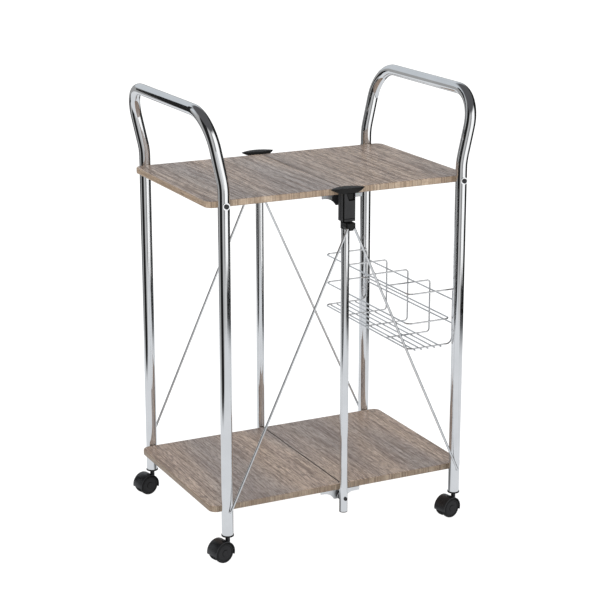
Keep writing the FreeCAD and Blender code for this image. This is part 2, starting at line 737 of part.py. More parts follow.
def latch_housing(end_name):
    """A plastic block round the post's top, with a recess for the latch button and parting grooves."""
    end = ENDS[end_name]
    name = f"{end_name}_latch_housing"
    low_y, high_y = span_y(end, "latch_back_y", "latch_front_y")
    block = rounded_block(f"{name}_body", ("-latch_width / 2", low_y, "latch_bottom"),
                          ("latch_width / 2", high_y, "latch_top"), "latch_back_round", "latch_front_round")
    recess = plate(f"{name}_recess", recess_outline(end, "0"), end, "recess_y", "latch_front_y + side_play",
                   "recess_z")
    pocket = plate(f"{name}_pocket", recess_outline(end, "button_margin - side_play"), end, "pocket_y",
                   "latch_front_y", "recess_z")
    hole = post_hole(f"{name}_post_hole", end, "latch_bottom - side_play", "post_top + side_play")
    groove_low, groove_high = span_y(end, "post_y + groove_place - groove_width / 2",
                                     "post_y + groove_place + groove_width / 2")
    spans = {"left": ("-latch_width / 2 - side_play", "-latch_width / 2 + groove_depth"),
             "right": ("latch_width / 2 - groove_depth", "latch_width / 2 + side_play")}
    grooves = [box(f"{name}_{label}_groove", (low_x, groove_low, "latch_bottom - side_play"),
                   (high_x, groove_high, "latch_top + side_play")) for label, (low_x, high_x) in spans.items()]
    finish(cut(name, block, [recess, pocket, hole, *grooves]), name)


def latch_button(end_name):
    end = ENDS[end_name]
    name = f"{end_name}_latch_button"
    finish(plate(name, recess_outline(end, "button_margin"), end, "button_y", "button_y + button_thickness",
                 "recess_z"), name)


def lift_grip(end_name):
    """A lens-shaped grip: crowned on top, bowed in front and behind, thinning to its tips below."""
    end = ENDS[end_name]
    name = f"{end_name}_lift_grip"
    front_y, back_y = "(post_y + grip_front)", "(post_y - grip_back)"
    low_y, high_y = span_y(end, back_y, front_y)
    block = box(f"{name}_block", ("-grip_length / 2", low_y, "latch_top"),
                ("grip_length / 2", high_y, "grip_top"))
    half = "(grip_length / 2 + grip_tip)"
    front_sag, back_sag = "(grip_front - grip_tip_place)", "(grip_tip_place + grip_back)"
    front_radius = f"(({half}^2 + {front_sag}^2) / (2 * {front_sag}))"
    back_radius = f"(({half}^2 + {back_sag}^2) / (2 * {back_sag}))"
    bows = [cylinder(f"{name}_front_bow", ("0", f"{end} * ({front_y} - {front_radius})", "latch_top"),
                     (0, 0, 1), front_radius, "grip_height"),
            cylinder(f"{name}_back_bow", ("0", f"{end} * ({back_y} + {back_radius})", "latch_top"),
                     (0, 0, 1), back_radius, "grip_height")]
    belly_rise = "sqrt(grip_belly_radius^2 - (grip_flat / 2)^2)"
    belly = bar_y(f"{name}_belly", "0", f"latch_top + {belly_rise}", end, front_y, back_y, "grip_belly_radius")
    crown = bar_y(f"{name}_crown", "0", "grip_top - grip_crown_radius", end, front_y, back_y,
                  "grip_crown_radius")
    finish(common(name, [block, *bows, belly, crown]), name)


def slider(end_name):
    """A ring on the post with a block before it; the rods' tops lie beside its tongue, under its lip."""
    end = ENDS[end_name]
    name = f"{end_name}_slider"
    half, foot = "slider_width / 2", "slider_width / 2 - slider_chamfer_width"
    corners = [(f"-({foot})", "0"), (foot, "0"), (half, "slider_chamfer_height"), (half, "slider_height"),
               (f"-({half})", "slider_height"), (f"-({half})", "slider_chamfer_height")]
    core = plate(f"{name}_core", corners, end, "slider_back_y", "slider_face_y", "slider_bottom")
    low_y, high_y = span_y(end, "slider_back_y", "slider_lip_y")
    lip = box(f"{name}_lip", ("-slider_lip_width / 2", low_y, "slider_top - slider_lip"),
              ("slider_lip_width / 2", high_y, "slider_top"))
    tongue = box(f"{name}_tongue", ("-slider_tongue / 2", low_y, "slider_bottom"),
                 ("slider_tongue / 2", high_y, "slider_top"))
    collar = cylinder(f"{name}_collar", ("0", f"{end} * post_y", "slider_bottom"), (0, 0, 1),
                      "collar_diameter / 2", "slider_height + collar_height")
    hole = post_hole(f"{name}_post_hole", end, "slider_bottom - side_play",
                     "slider_top + collar_height + side_play")
    finish(cut(name, fuse(f"{name}_body", [core, lip, tongue, collar]), [hole]), name)


def centre():
    for end_name in ENDS:
        post(end_name)
        latch_housing(end_name)
        latch_button(end_name)
        lift_grip(end_name)
        slider(end_name)
    for level in ("upper", "lower"):
        name = f"{level}_hinge_pins"
        finish(group(name, [hinge_pin(level, end_name) for end_name in ENDS]), name)
    rings = [ring for level in ("upper", "lower") for end_name in ENDS
             for ring in hinge_sleeves(level, end_name)]
    finish(group("hinge_sleeves", rings), "hinge_sleeves")
    finish(group("post_end_plugs", [post_end_plug(end_name) for end_name in ENDS]), "post_end_plugs")


def stay_rods():
    """Rods from the sliders to the legs; each lower end turns through the leg into the board."""
    for end_name, end in ENDS.items():
        for side_name, side in SIDES.items():
            name = f"{end_name}_{side_name}_rod"
            corners = [(f"{side} * rod_top_x", f"{end} * rod_top_y", "rod_top_height"),
                       (f"{side} * leg_x", f"{end} * rod_y", "lower_pivot_z"),
                       (f"{side} * leg_x", f"{end} * (board_y - rod_depth)", "lower_pivot_z")]
            spine = path(f"{name}_path", corners, ["rod_bend_radius - fit_gap"])
            finish(sweep(name, spine, "rod_diameter"), name)


def basket():
    """The wire basket: bent wires that touch where the real ones are welded."""
    left, right, weld = "basket_left_x", "basket_right_x", "(wire_diameter + fit_gap)"
    rim_z, floor_z = "basket_rim_height", "basket_floor_height"
    under_rim = f"{rim_z} - {weld}"
    hook = "leg_inner_y + basket_hook_depth"
    rim = [(right, f"-({hook})", rim_z), (right, "-basket_y", rim_z), (left, "-basket_y", rim_z),
           (left, "basket_y", rim_z), (right, "basket_y", rim_z), (right, hook, rim_z)]
    bends = ["basket_hook_radius", "basket_corner_radius", "basket_corner_radius", "basket_hook_radius"]
    finish(wire("basket_rim", rim, bends), "basket_rim")

    base = [(right, "-basket_y", under_rim), (right, "-basket_y", floor_z), (left, "-basket_y", floor_z),
            (left, "basket_y", floor_z), (right, "basket_y", floor_z), (right, "basket_y", under_rim)]
    finish(wire("basket_base_frame", base, ["basket_corner_radius"] * 4), "basket_base_frame")

    hoops = []
    for number, step in (("first", -1), ("second", 0), ("third", 1)):
        y = f"{step} * basket_hoop_pitch"
        corners = [(left, y, under_rim), (right, y, under_rim), (right, y, floor_z),
                   (f"{left} + {weld} - wire_diameter / 2", y, floor_z)]
        hoops.append(wire(f"{number}_basket_hoop", corners, ["basket_hoop_radius"] * 2))
    finish(group("basket_hoops", hoops), "basket_hoops")

    guard_right, guard_y = f"{right} - {weld}", f"basket_y - {weld}"
    guard_z = "basket_guard_height"
    middle = (left, "0", guard_z)
    guard = [middle, (left, guard_y, guard_z), (guard_right, guard_y, guard_z),
             (guard_right, f"-({guard_y})", guard_z), (left, f"-({guard_y})", guard_z), middle]
    finish(wire("basket_guard", guard, ["basket_corner_radius"] * 4), "basket_guard")

    lengthwise = []
    reach = "basket_y + wire_diameter / 2"
    under_floor = f"{floor_z} - {weld}"
    for number in range(1, BASKET_FLOOR_WIRES + 1):
        place = (f"{left} + {number} * basket_floor_pitch", f"-({reach})", under_floor)
        lengthwise.append(cylinder(f"floor_wire_{number}", place, (0, 1, 0), "wire_diameter / 2",
                                   f"2 * ({reach})"))
    for label in ("upper", "lower"):
        place = (f"{right} + {weld}", f"-({reach})", f"basket_{label}_wire")
        lengthwise.append(cylinder(f"{label}_side_wire", place, (0, 1, 0), "wire_diameter / 2",
                                   f"2 * ({reach})"))
    finish(group("basket_lengthwise_wires", lengthwise), "basket_lengthwise_wires")


def export():
    """Write every piece to its own file, once the whole document is sound."""
    doc.recompute()
    broken = [item.Name for item in doc.Objects if {"Invalid", "Error"} & set(item.State)]
    if broken:
        raise RuntimeError(f"features failed: {broken}")
    for item in pieces:
        if item.Shape.isNull() or not item.Shape.isValid() or not item.Shape.Solids:
            raise RuntimeError(f"bad shape: {item.Label}")
    os.makedirs("parts", exist_ok=True)
    for item in pieces:
        item.Shape.exportStep(f"parts/{item.Label}.step")
    print(len(pieces), "pieces,", sum(len(item.Shape.Solids) for item in pieces), "solids")


shelves()
side_frames()
castors()
centre()
stay_rods()
basket()
export()
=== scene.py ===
import json
import math
import bpy
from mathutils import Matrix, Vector

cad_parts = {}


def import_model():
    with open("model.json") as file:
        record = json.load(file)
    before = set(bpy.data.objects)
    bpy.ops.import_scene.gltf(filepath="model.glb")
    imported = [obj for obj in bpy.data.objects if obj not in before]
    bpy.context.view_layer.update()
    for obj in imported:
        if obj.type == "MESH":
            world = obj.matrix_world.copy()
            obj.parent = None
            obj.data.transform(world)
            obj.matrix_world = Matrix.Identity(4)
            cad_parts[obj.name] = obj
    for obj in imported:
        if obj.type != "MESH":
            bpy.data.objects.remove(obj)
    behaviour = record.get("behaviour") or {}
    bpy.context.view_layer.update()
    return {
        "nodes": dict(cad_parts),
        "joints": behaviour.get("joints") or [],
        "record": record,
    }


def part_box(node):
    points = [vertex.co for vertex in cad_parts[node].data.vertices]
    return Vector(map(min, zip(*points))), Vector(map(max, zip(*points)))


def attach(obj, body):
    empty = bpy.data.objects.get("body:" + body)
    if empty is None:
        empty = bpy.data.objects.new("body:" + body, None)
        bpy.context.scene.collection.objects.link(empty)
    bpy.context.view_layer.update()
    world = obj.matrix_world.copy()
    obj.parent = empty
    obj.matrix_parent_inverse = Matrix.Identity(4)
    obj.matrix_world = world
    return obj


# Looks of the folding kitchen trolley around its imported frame.
# Metres; +X is right, -Y is the front, +Z is up, and the origin is on the floor under the middle.

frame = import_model()
nodes = frame["nodes"]

# Camera at the photo's viewing angle; turns in degrees, lens and sensor in millimetres
CAMERA_PLACE = (-1.5094, -3.0431, 1.3956)
CAMERA_TURN = (74.118, 0.0, -26.370)
CAMERA_LENS = 107.10
CAMERA_SENSOR = 36.0

# Self-lit floor, which is clear from below and which gloss doesn't see
FLOOR_SIZE = 60.0
FLOOR_TINTS = ((0.20, 0.20, 0.20), (0.24, 0.24, 0.24))
FLOOR_ROUGHNESS = (0.75, 0.90)
FLOOR_GLOW = 0.94

# Floor card, the lit floor that only gloss sees; it is shaded under the trolley
FLOOR_CARD_MIDDLE = (-0.20, 0.35)
FLOOR_CARD_HALF = (0.75, 1.80)
FLOOR_CARD_FADE = 0.20
FLOOR_CARD_LIGHT = (0.745, 0.762, 0.785)
FLOOR_SHADE = (0.16, 0.16, 0.16)
FLOOR_SHADE_HALF = (0.15, 0.11)
FLOOR_SHADE_FADE = 0.09

# Dark card on the left, which only gloss sees; its outline is in depth and height
DARK_CARD_X = -0.90
DARK_CARD_OUTLINE = ((0.80, 0.05), (2.10, 0.05), (1.75, 0.45), (1.60, 0.90), (1.62, 1.70), (0.80, 1.70))
DARK_CARD_LIGHT = (0.02, 0.02, 0.02)

# Even light from all round; edges are spans of degrees above the horizon, here and below
WALL_LIGHT = 1.75
CEILING_LIGHT = 0.40
EVEN_LIGHT_EDGE = (20.0, 65.0)

# Soft boxes and dark flags that gloss sees: greys at bearings, in degrees to the right of the camera's side
STUDIO_FACING = math.degrees(math.atan2(CAMERA_PLACE[0], -CAMERA_PLACE[1]))
FLAGS = ((-178, 0.30), (-84, 0.42), (-76, 0.015), (-30, 0.012), (-22, 0.55), (4, 0.50), (8, 0.24),
         (22, 0.26), (28, 1.15), (80, 1.15), (88, 0.012), (150, 0.012), (172, 0.25))

# Low on the right the soft boxes stop short: a thin gap, mostly dark, lies over a lit floor
LOW_FLAGS = ((4, 0.50), (8, 0.66), (38, 0.66), (46, 0.012), (150, 0.012), (172, 0.25))
LOW_FROM = (4, 8)
LOW_UNTIL = (150, 160)
LOW_EDGE = (-15.5, -14.5)
LOW_FLOOR_EDGE = (-17.7, -16.4)

# A pale wall stands at the far left, and the ceiling is dark
FAR_WALL_FROM = (162, 180)
FAR_WALL_UNTIL = (-108, -90)
FAR_WALL_EDGE = (6.0, 12.0)
FAR_WALL_TINT = (0.60, 0.635, 0.67)
CEILING_EDGE = (30.0, 44.0)
CEILING_TINT = (0.10, 0.10, 0.105)

# Lamps, which gloss doesn't see: place, size across and power in watts
LAMPS = {"key": ((-1.8, -2.6, 1.2), 1.6, 45.0), "overhead": ((0.4, 0.3, 3.2), 2.4, 4.0)}
LAMP_AIM = (0.0, 0.0, 0.3)

# Noise's middle value, and those that it mostly keeps to
NOISE_MIDDLE = 0.5
NOISE_SPAN = (0.3, 0.7)

# Numbers of the mix node's colour sockets, whose names it uses for other kinds too: inputs and result
MIX_INPUTS = (0, 6, 7)
MIX_RESULT = 2

# Every castor's axle lies the same way at rest; the cosines tell a wheel's sides, which look along it
WHEEL_AXLE = next(gap_shade["axis"] for gap_shade in frame["joints"] if gap_shade["name"].endswith("_wheel_spin"))
WHEEL_FACE = (0.92, 0.99)
# Painted shade: black on a wheel's tread, rim and dish edge, for the dark gap between wheel and hood
TREAD_PAINTED_SHADE = (0.002, 0.002, 0.002)
TREAD_ROUGHER = 0.15

# Black ends of the upper hinge brackets, out from the hinge axis
BLACK_END_REACH = 0.0190
BLACK_END_FADE = 0.0004

# Oak foil on the flat of the boards: early and late wood, broad casts of colour, growth rings, dashes, pores
EARLY_WOOD = (0.402, 0.320, 0.265)
LATE_WOOD = (0.368, 0.292, 0.248)
WARM_CAST = (1.13, 1.09, 1.03)
COOL_CAST = (0.81, 0.86, 0.93)
RING_TINT = (0.122, 0.086, 0.071)
RING_DEPTHS = (0.54, 0.62)
DASH_TINT = (0.130, 0.092, 0.074)
DASH_DEPTH = 0.66
PORE_TINT = (0.060, 0.042, 0.032)
PORE_DEPTH = 0.50
FIBRE_LIGHTS = (0.76, 1.24)
FIBRE_RELIEF = 0.5

# Oak foil on the boards' edges, with painted shade that makes them darker on the lower shelf
EDGE_EARLY_WOOD = (0.360, 0.285, 0.213)
EDGE_LATE_WOOD = (0.285, 0.215, 0.156)
MOTTLE_TINT = (0.215, 0.155, 0.105)
MOTTLE_DEPTH = 0.45
TICK_TINT = (0.130, 0.085, 0.055)
TICK_DEPTH = 0.60
BETWEEN_SHELVES = (0.2, 0.5)
EDGE_PAINTED_SHADE = (0.64, 1.0)

# Cosines that tell a board's flat, which looks up or down, and its ends, which look left or right
FLAT_FACING = (0.55, 0.9)
END_FACING = (0.5, 0.9)

# Stretches of foil: the boards' levels are told apart by halves of a metre, their sides by the middle
LEVELS_PER_METRE = 2.0
LEVEL_STEP = 7.3
SIDE_STEP = 3.1

# Slow bends of the grain: sideways reach, how often they come across it, and the share of that along it
BEND_REACH = 0.020
BENDS_PER_METRE = 3.0
BEND_SHARE_ALONG = 0.6

# Painted shade along the gap where the two boards of a shelf meet, deeper on the lower shelf
GAP_SHADE_REACH = 0.0012
GAP_SHADE_FADE = 0.0008
GAP_SHADE_DEPTHS = (0.85, 0.40)
GAP_SHADE_TINT = (0.040, 0.026, 0.018)

# Small rounds on the sharp edges of moulded and pressed pieces
EDGE_ROUNDS = {"_latch_housing": 0.0007, "_lift_grip": 0.0010, "_slider": 0.0006, "_latch_button": 0.0008,
               "_castor_hood": 0.0005, "_castor_sockets": 0.0006, "_brackets": 0.0003}
ROUND_SEGMENTS = 3
SHARP_ANGLE = 35.0
WELD_DISTANCE = 0.000002

# Painted shade on the latch housings, as thin black skins: round the front left corner, across the foot, and
# behind the button
LATCH_SHADE_LIFT = 0.0001
LATCH_SHADE_STEPS = 6
LATCH_SHADE_CORNER = 0.0020
LATCH_SHADE_FOOT = (0.0044, 0.0056)
LATCH_SHADE_SIDE = 0.0016
RECESS_DEPTH = 0.0040
RECESS_OUTLINE = ((-0.0013, 0.0), (0.0110, 0.0), (0.0110, 0.0150), (-0.0069, 0.0150))


class Shader:
    """A node tree under construction: makes nodes, and sets or links their sockets."""

    def __init__(self, tree):
        self.tree = tree

    def feed(self, node, socket, given):
        """Set a socket to a plain value, or link another node's output to it."""
        if isinstance(given, bpy.types.NodeSocket):
            self.tree.links.new(given, node.inputs[socket])
        else:
            node.inputs[socket].default_value = given

    def add(self, kind, inputs=None, **settings):
        node = self.tree.nodes.new(kind)
        for name, setting in settings.items():
            setattr(node, name, setting)
        for socket, given in (inputs or {}).items():
            self.feed(node, socket, given)
        return node

    def place(self):
        """Position on the piece, which stays with it as its body moves."""
        return self.add("ShaderNodeTexCoord").outputs["Object"]

    def facing(self):
        """Direction that the surface looks in, which stays with the piece too."""
        return self.add("ShaderNodeTexCoord").outputs["Normal"]

    def stretch(self, vector, scale):
        return self.add("ShaderNodeMapping", {"Vector": vector, "Scale": scale}).outputs["Vector"]

    def split(self, vector):
        return self.add("ShaderNodeSeparateXYZ", {"Vector": vector}).outputs

    def join(self, x, y, z):
        return self.add("ShaderNodeCombineXYZ", {"X": x, "Y": y, "Z": z}).outputs["Vector"]

    def noise(self, vector, scale, detail=2.0, roughness=0.5, layer=None):
        """Noise around 0.5; a layer picks another pattern for the same places."""
        inputs = {"Vector": vector, "Scale": scale, "Detail": detail, "Roughness": roughness}
        if layer is not None:
            inputs["W"] = layer
        dimensions = "3D" if layer is None else "4D"
        return self.add("ShaderNodeTexNoise", inputs, noise_dimensions=dimensions).outputs["Fac"]

    def math(self, operation, first, second=0.0):
        return self.add("ShaderNodeMath", {0: first, 1: second}, operation=operation).outputs[0]

    def plus(self, first, second):
        return self.math("ADD", first, second)

    def minus(self, first, second):
        return self.math("SUBTRACT", first, second)

    def times(self, first, second):
        return self.math("MULTIPLY", first, second)

    def over(self, first, second):
        return self.math("DIVIDE", first, second)

    def size(self, given):
        return self.math("ABSOLUTE", given)

    def rescale(self, given, span, results, smooth=False):
        """The results' first value below the span, their second above it, and between them within it."""
        inputs = {"Value": given, "From Min": span[0], "From Max": span[1],
                  "To Min": results[0], "To Max": results[1]}
        kind = "SMOOTHSTEP" if smooth else "LINEAR"
        return self.add("ShaderNodeMapRange", inputs, interpolation_type=kind).outputs["Result"]

    def rise(self, given, span, smooth=False):
        return self.rescale(given, span, (0.0, 1.0), smooth)

    def fall(self, given, span, smooth=False):
        return self.rescale(given, span, (1.0, 0.0), smooth)

    def ramp(self, given, stops):
        """Colours along a value, from (position, colour) stops in order."""
        node = self.add("ShaderNodeValToRGB", {"Fac": given})
        elements = node.color_ramp.elements
        while len(elements) < len(stops):
            elements.new(1.0)
        for element, (position, colour) in zip(elements, stops):
            element.position = position
            element.color = (*colour, 1.0)
        return node.outputs["Color"]

    def tones(self, given, dark, light, span=NOISE_SPAN):
        return self.ramp(given, [(span[0], dark), (span[1], light)])

    def mix(self, share, first, second, blend="MIX"):
        node = self.add("ShaderNodeMix", data_type="RGBA", blend_type=blend)
        for number, given in zip(MIX_INPUTS, (share, first, second)):
            self.feed(node, number, (*given, 1.0) if isinstance(given, tuple) else given)
        return node.outputs[MIX_RESULT]

    def tint(self, colour, factor):
        return self.mix(1.0, colour, factor, "MULTIPLY")

    def bump(self, height, strength, distance):
        inputs = {"Height": height, "Strength": strength, "Distance": distance}
        return self.add("ShaderNodeBump", inputs).outputs["Normal"]


def finish_of(name, build, **fixed):
    """A material whose nodes the given function adds; fixed values go on the shader's own sockets."""
    material = bpy.data.materials.new(name)
    material.use_nodes = True
    shader = Shader(material.node_tree)
    surface = material.node_tree.nodes["Principled BSDF"]
    for socket, given in fixed.items():
        surface.inputs[socket.replace("_", " ")].default_value = given
    for socket, given in build(shader).items():
        shader.feed(surface, socket, given)
    return material


def chrome(shader):
    """Bright plating: faint smears in its gloss and the slight waviness of drawn tube."""
    place = shader.place()
    smear = shader.noise(place, scale=22.0, detail=4.0, roughness=0.6)
    drawn = shader.noise(shader.stretch(place, (1.0, 1.0, 0.3)), scale=14.0, detail=1.0)
    return {"Base Color": shader.tones(smear, dark=(0.80, 0.81, 0.82), light=(0.86, 0.87, 0.88)),
            "Roughness": shader.rescale(smear, NOISE_SPAN, (0.035, 0.075)),
            "Normal": shader.bump(drawn, strength=0.02, distance=0.001)}


def wire_chrome(shader):
    """Plated wire, a little duller than the tubes."""
    place = shader.place()
    smear = shader.noise(place, scale=60.0, detail=3.0)
    waves = shader.noise(place, scale=40.0)
    return {"Base Color": shader.tones(smear, dark=(0.70, 0.71, 0.72), light=(0.82, 0.83, 0.84)),
            "Roughness": shader.rescale(smear, NOISE_SPAN, (0.08, 0.14)),
            "Normal": shader.bump(waves, strength=0.02, distance=0.0004)}


def zinc_sheet(shader, dark=(0.74, 0.75, 0.76), light=(0.88, 0.89, 0.90)):
    """Zinc-plated sheet with its fine mottling."""
    place = shader.place()
    spangle = shader.add("ShaderNodeTexVoronoi", {"Vector": place, "Scale": 420.0}).outputs["Color"]
    spangle_share = 0.08
    cloud = shader.noise(place, scale=70.0, detail=3.0)
    return {"Base Color": shader.mix(spangle_share, shader.tones(cloud, dark, light), spangle, "OVERLAY"),
            "Roughness": shader.rescale(cloud, NOISE_SPAN, (0.32, 0.45)),
            "Normal": shader.bump(cloud, strength=0.05, distance=0.0004)}


def shaded_zinc_black_end(shader):
    """Zinc-plated sheet, black at its hinge end, with zinc darker than the lower brackets' as painted shade
    under the upper shelf.
    """
    across = shader.split(shader.place())[0]
    black_end = shader.fall(shader.size(across), (BLACK_END_REACH, BLACK_END_REACH + BLACK_END_FADE))
    # Painted shade: darker zinc than on the lower brackets, under the upper shelf
    sheet = zinc_sheet(shader, dark=(0.40, 0.41, 0.42), light=(0.54, 0.55, 0.56))
    cloud = shader.noise(shader.place(), scale=120.0, detail=3.0)
    black = shader.tones(cloud, dark=(0.006, 0.006, 0.007), light=(0.013, 0.013, 0.014))
    return {"Base Color": shader.mix(black_end, sheet["Base Color"], black),
            "Metallic": shader.minus(1.0, black_end),
            "Roughness": sheet["Roughness"],
            "Normal": sheet["Normal"]}


def bright_steel(shader):
    """Bright steel with fine level streaks."""
    turned = shader.noise(shader.stretch(shader.place(), (1.0, 1.0, 14.0)), scale=120.0, detail=3.0)
    return {"Base Color": shader.tones(turned, dark=(0.46, 0.47, 0.49), light=(0.62, 0.63, 0.65)),
            "Roughness": shader.rescale(turned, NOISE_SPAN, (0.22, 0.36))}


def black_oxide(shader):
    """Blackened steel with a cloudy gloss."""
    cloud = shader.noise(shader.place(), scale=160.0, detail=4.0)
    return {"Base Color": shader.tones(cloud, dark=(0.010, 0.010, 0.011), light=(0.026, 0.026, 0.028)),
            "Roughness": shader.rescale(cloud, NOISE_SPAN, (0.34, 0.5)),
            "Normal": shader.bump(cloud, strength=0.08, distance=0.0002)}


def moulded(dark, light, roughness):
    """Moulded plastic: spark-eroded grain, and a cloudy gloss from handling."""
    tone_span = (0.3, 0.72)

    def build(shader):
        place = shader.place()
        cloud = shader.noise(place, scale=55.0, detail=4.0, roughness=0.6)
        grain = shader.noise(place, scale=2600.0, detail=1.0)
        return {"Base Color": shader.tones(cloud, dark, light, tone_span),
                "Roughness": shader.rescale(cloud, NOISE_SPAN, roughness),
                "Normal": shader.bump(grain, strength=0.18, distance=0.0002)}

    return build


def wheel_nylon(shader):
    """Castor wheel: moulded face, with painted shade that blackens all but its flat sides: the tread,
    rounded rim and dish edge, for the shade between wheel and hood.
    """
    moulding = moulded((0.007, 0.007, 0.008), (0.012, 0.012, 0.013), roughness=(0.46, 0.58))(shader)
    directions = {0: shader.facing(), 1: WHEEL_AXLE}
    along = shader.add("ShaderNodeVectorMath", directions, operation="DOT_PRODUCT").outputs["Value"]
    face = shader.rise(shader.size(along), WHEEL_FACE)
    rougher = shader.rescale(face, (0.0, 1.0), (TREAD_ROUGHER, 0.0))
    moulding["Base Color"] = shader.mix(face, TREAD_PAINTED_SHADE, moulding["Base Color"])
    moulding["Roughness"] = shader.plus(moulding["Roughness"], rougher)
    return moulding


def foil_streaks(shader, x, y, z, endwise):
    """The function that makes the foil's streaks, from their pitch across the grain and length along it."""
    # Each of the four boards is cut from another stretch of foil
    level = shader.math("ROUND", shader.times(z, LEVELS_PER_METRE))
    side = shader.math("GREATER_THAN", x, 0.0)
    panel = shader.plus(shader.times(level, LEVEL_STEP), shader.times(side, SIDE_STEP))
    # The grain runs on down a board's ends, and bends slowly from side to side
    wrapped = shader.plus(x, shader.times(z, endwise))
    drawn_out = shader.join(x, shader.times(y, BEND_SHARE_ALONG), 0.0)
    bends = shader.noise(drawn_out, scale=BENDS_PER_METRE, detail=1.0, layer=panel)
    across = shader.plus(wrapped, shader.times(shader.minus(bends, NOISE_MIDDLE), BEND_REACH))

    def streaks(pitch, length, detail=0.0, roughness=0.5):
        run = shader.join(shader.over(across, pitch), shader.over(y, length), 0.0)
        return shader.noise(run, scale=1.0, detail=detail, roughness=roughness, layer=panel)

    return streaks


def foil_face(shader, streaks, late):
    """Colour of the foil on the flat of a board, and where its growth rings are."""
    colour = shader.mix(late, EARLY_WOOD, LATE_WOOD)
    cool = shader.rise(streaks(pitch=0.110, length=0.60), (0.36, 0.64), smooth=True)
    colour = shader.tint(colour, shader.mix(cool, WARM_CAST, COOL_CAST))
    rings = shader.fall(streaks(pitch=0.0028, length=0.15, detail=1.0), (0.44, 0.52))
    depth = shader.rescale(late, (0.0, 1.0), RING_DEPTHS)
    colour = shader.mix(shader.times(rings, depth), colour, RING_TINT)
    dashes = shader.fall(streaks(pitch=0.0018, length=0.0190), (0.40, 0.48))
    return shader.mix(shader.times(dashes, DASH_DEPTH), colour, DASH_TINT), rings


def foil_edge(shader, streaks, late, z):
    """Colour of the foil on a board's edges: mottled, with long dark ticks along the grain, and painted
    shade on the lower shelf.
    """
    colour = shader.mix(late, EDGE_EARLY_WOOD, EDGE_LATE_WOOD)
    mottle = shader.rise(shader.noise(shader.place(), scale=160.0), (0.42, 0.62))
    colour = shader.mix(shader.times(mottle, MOTTLE_DEPTH), colour, MOTTLE_TINT)
    ticks = shader.fall(streaks(pitch=0.0019, length=0.50, detail=2.0, roughness=0.7), (0.40, 0.50))
    colour = shader.mix(shader.times(ticks, TICK_DEPTH), colour, TICK_TINT)
    return shader.tint(colour, shader.rescale(z, BETWEEN_SHELVES, EDGE_PAINTED_SHADE))


def oak_decor(shader):
    """Grey-brown oak foil: grain from front to back, wrapped over the edges, which look warmer."""
    x, y, z = shader.split(shader.place())
    facing = shader.split(shader.facing())
    flat = shader.rise(shader.size(facing[2]), FLAT_FACING, smooth=True)
    endwise = shader.rise(shader.size(facing[0]), END_FACING, smooth=True)
    streaks = foil_streaks(shader, x, y, z, endwise)
    late = shader.rise(streaks(pitch=0.026, length=0.40), (0.40, 0.62), smooth=True)
    fibres = streaks(pitch=0.0020, length=0.050, detail=2.0, roughness=0.6)
    pores = shader.rise(streaks(pitch=0.0016, length=0.018, detail=1.0), (0.58, 0.70))
    face, rings = foil_face(shader, streaks, late)
    colour = shader.mix(flat, foil_edge(shader, streaks, late, z), face)
    # Painted shade in the gap between a shelf's two boards, deeper on the lower shelf
    gap_shade = shader.fall(shader.size(x), (GAP_SHADE_REACH, GAP_SHADE_REACH + GAP_SHADE_FADE))
    gap_shade_depth = shader.rescale(z, BETWEEN_SHELVES, GAP_SHADE_DEPTHS)
    colour = shader.mix(shader.times(gap_shade, gap_shade_depth), colour, GAP_SHADE_TINT)
    colour = shader.tint(colour, shader.rescale(fibres, NOISE_SPAN, FIBRE_LIGHTS))
    colour = shader.mix(shader.times(pores, PORE_DEPTH), colour, PORE_TINT)
    height = shader.minus(shader.times(fibres, FIBRE_RELIEF), pores)
    dull = shader.math("MAXIMUM", rings, pores)
    return {"Base Color": colour,
            "Roughness": shader.rescale(dull, (0.0, 1.0), (0.25, 0.44)),
            "Normal": shader.bump(height, strength=0.12, distance=0.0003)}


MOULDED_BLACK = moulded((0.009, 0.009, 0.010), (0.016, 0.016, 0.017), roughness=(0.36, 0.48))
GLOSS_BLACK = moulded((0.004, 0.004, 0.005), (0.008, 0.008, 0.009), roughness=(0.24, 0.34))
DULL_BLACK = moulded((0.005, 0.005, 0.005), (0.009, 0.009, 0.009), roughness=(0.40, 0.52))
# Matte black for the painted shade on the latch housings
PAINTED_SHADE_BLACK = moulded((0.0015, 0.0015, 0.0015), (0.003, 0.003, 0.003), roughness=(0.60, 0.70))

MATERIALS = {
    "chrome": finish_of("bright_chrome", chrome, Metallic=1.0),
    "wire": finish_of("plated_wire", wire_chrome, Metallic=1.0),
    "bracket_steel": finish_of("zinc_sheet", zinc_sheet, Metallic=1.0),
    "steel": finish_of("bright_steel", bright_steel, Metallic=1.0),
    "shaded_steel_black_end": finish_of("shaded_zinc_black_end", shaded_zinc_black_end),
    "dark_steel": finish_of("black_oxide", black_oxide, Metallic=0.4),
    "black_plastic": finish_of("moulded_black", MOULDED_BLACK, Specular_IOR_Level=0.40),
    "gloss_plastic": finish_of("gloss_black", GLOSS_BLACK, Specular_IOR_Level=0.50),
    "dull_plastic": finish_of("dull_black", DULL_BLACK, Specular_IOR_Level=0.20),
    "shade_skin": finish_of("painted_shade_black", PAINTED_SHADE_BLACK, Specular_IOR_Level=0.04),
    "wheel": finish_of("wheel_nylon", wheel_nylon, Specular_IOR_Level=0.25),
    "board": finish_of("oak_decor", oak_decor, Specular_IOR_Level=0.35),
}
DULL_ENDINGS = ("_lift_grip", "_slider", "_castor_sockets", "_latch_button")


def material_of(name, slot):
    """The record's slot names a node's material, apart from the kinds named here."""
    if name.startswith("basket") or name.endswith("_rod"):
        return MATERIALS["wire"]
    if name.startswith("upper") and name.endswith("_brackets"):
        return MATERIALS["shaded_steel_black_end"]
    if name.endswith(DULL_ENDINGS):
        return MATERIALS["dull_plastic"]
    return MATERIALS["gloss_plastic" if name.endswith("_castor_hood") else slot]


